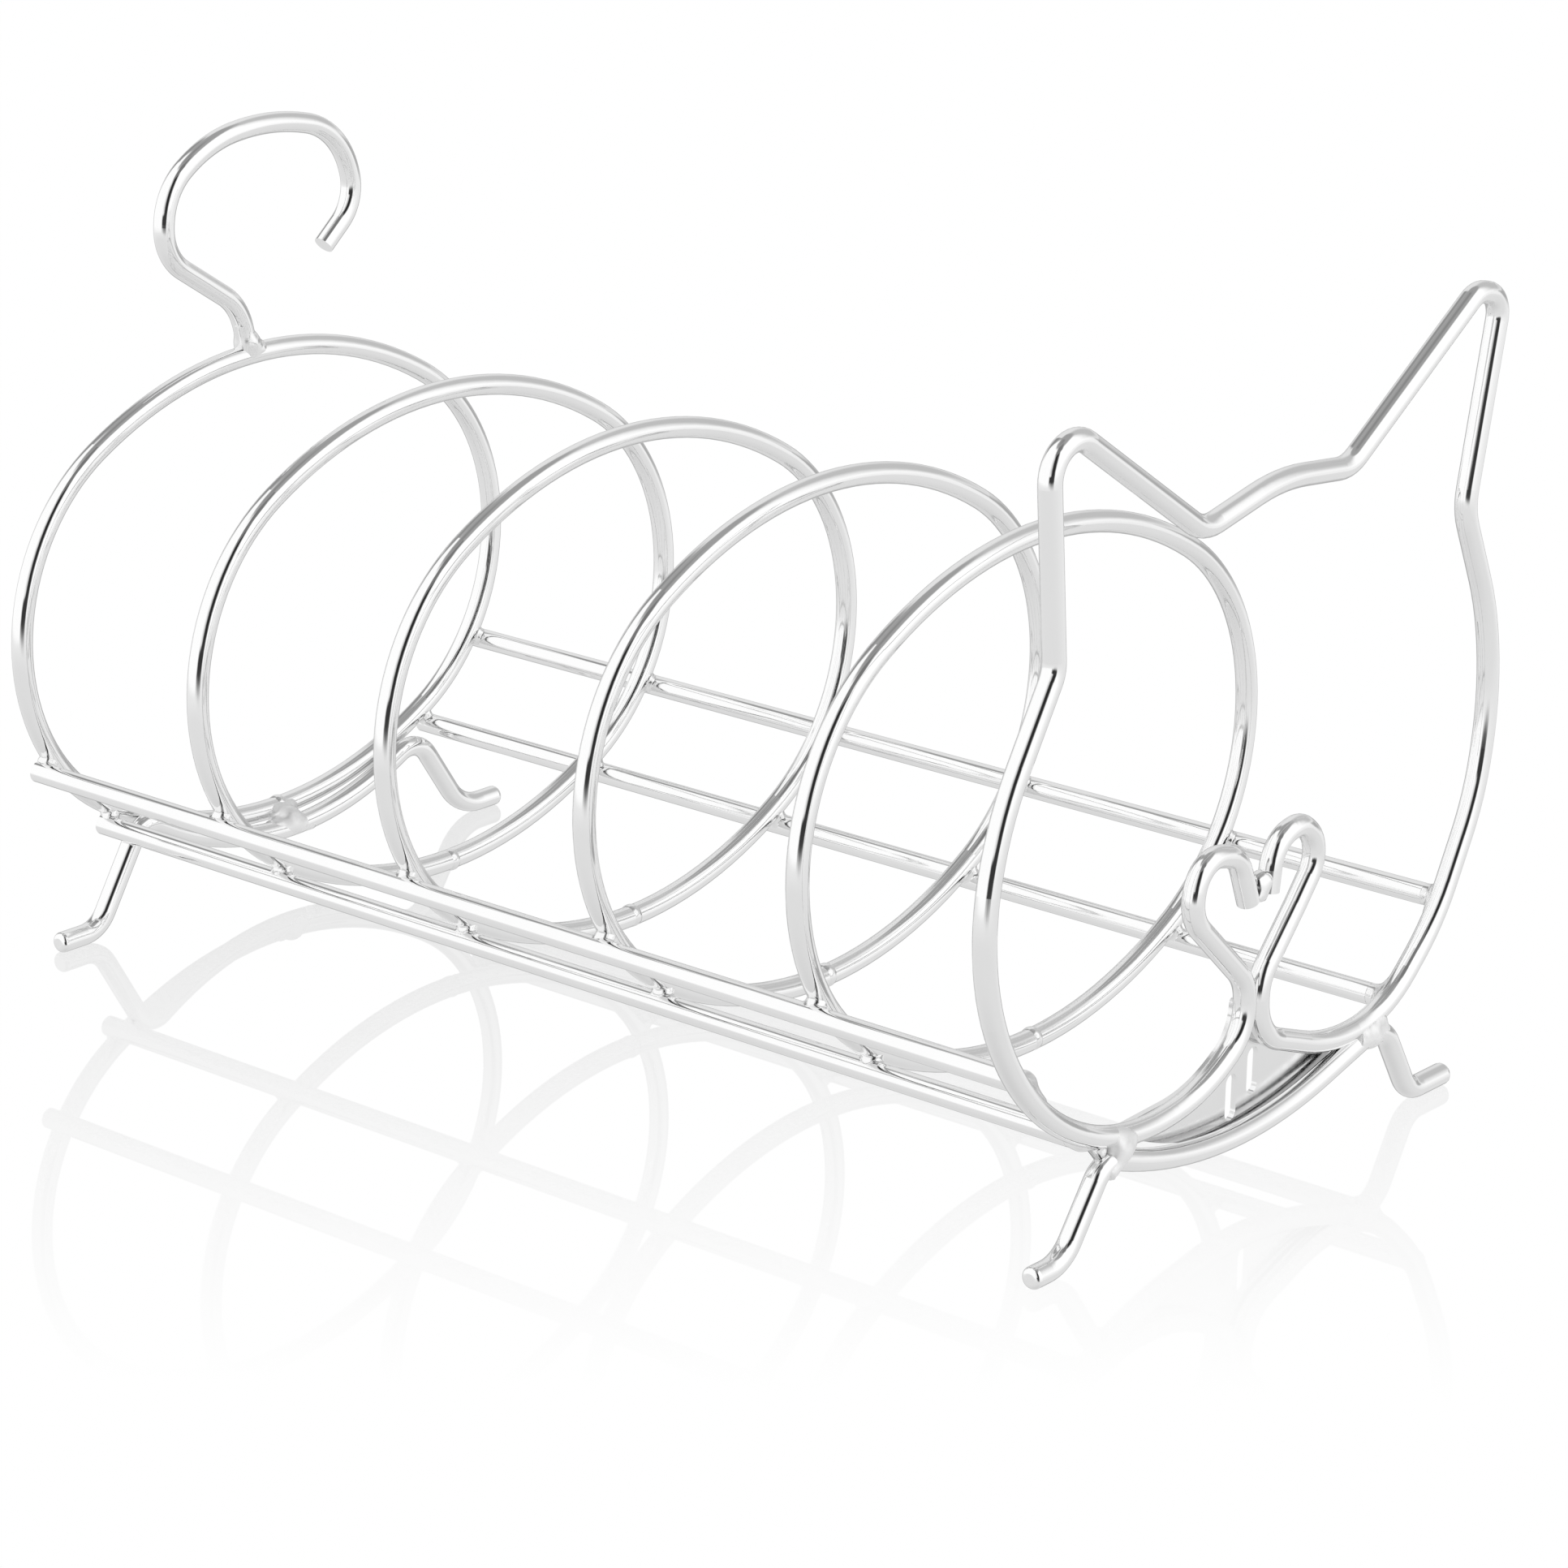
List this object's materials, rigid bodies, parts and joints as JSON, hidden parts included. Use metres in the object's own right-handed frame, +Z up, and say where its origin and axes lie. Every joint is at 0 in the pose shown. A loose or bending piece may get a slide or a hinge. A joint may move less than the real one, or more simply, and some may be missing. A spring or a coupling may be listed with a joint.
{
  "type": "wire toast rack",
  "caption": "Welded wire toast rack with oval ring dividers on rails, a cat-face front, a hooked tail to carry it by, and two bent leg wires.",
  "frame": {"origin": "centre of the bounding box on the surface that the feet stand on", "axes": "+X along the rails to the cat's face, +Y to the rack's own left, +Z up"},
  "size_m": [0.1823, 0.1115, 0.1147],
  "materials": {
    "wire": "polished",
    "plate": "polished",
    "weld": "satin"
  },
  "bodies": {
    "root": {"ring_1": "wire", "ring_2": "wire", "ring_3": "wire", "ring_4": "wire", "ring_5": "wire", "rail_upper_left": "wire", "rail_upper_right": "wire", "rail_lower_left": "wire", "rail_lower_right": "wire", "face_wire": "wire", "tail_wire": "wire", "leg_wire_front": "wire", "leg_wire_rear": "wire", "chin_plate": "plate", "welds_rail_upper_left": "weld", "welds_rail_upper_right": "weld", "welds_rail_lower_left": "weld", "welds_rail_lower_right": "weld", "welds_ring_butts": "weld", "welds_rail_ends": "weld", "weld_tail": "weld", "weld_nose": "weld", "weld_leg_rear": "weld", "welds_leg_front": "weld"}
  },
  "joints": []
}
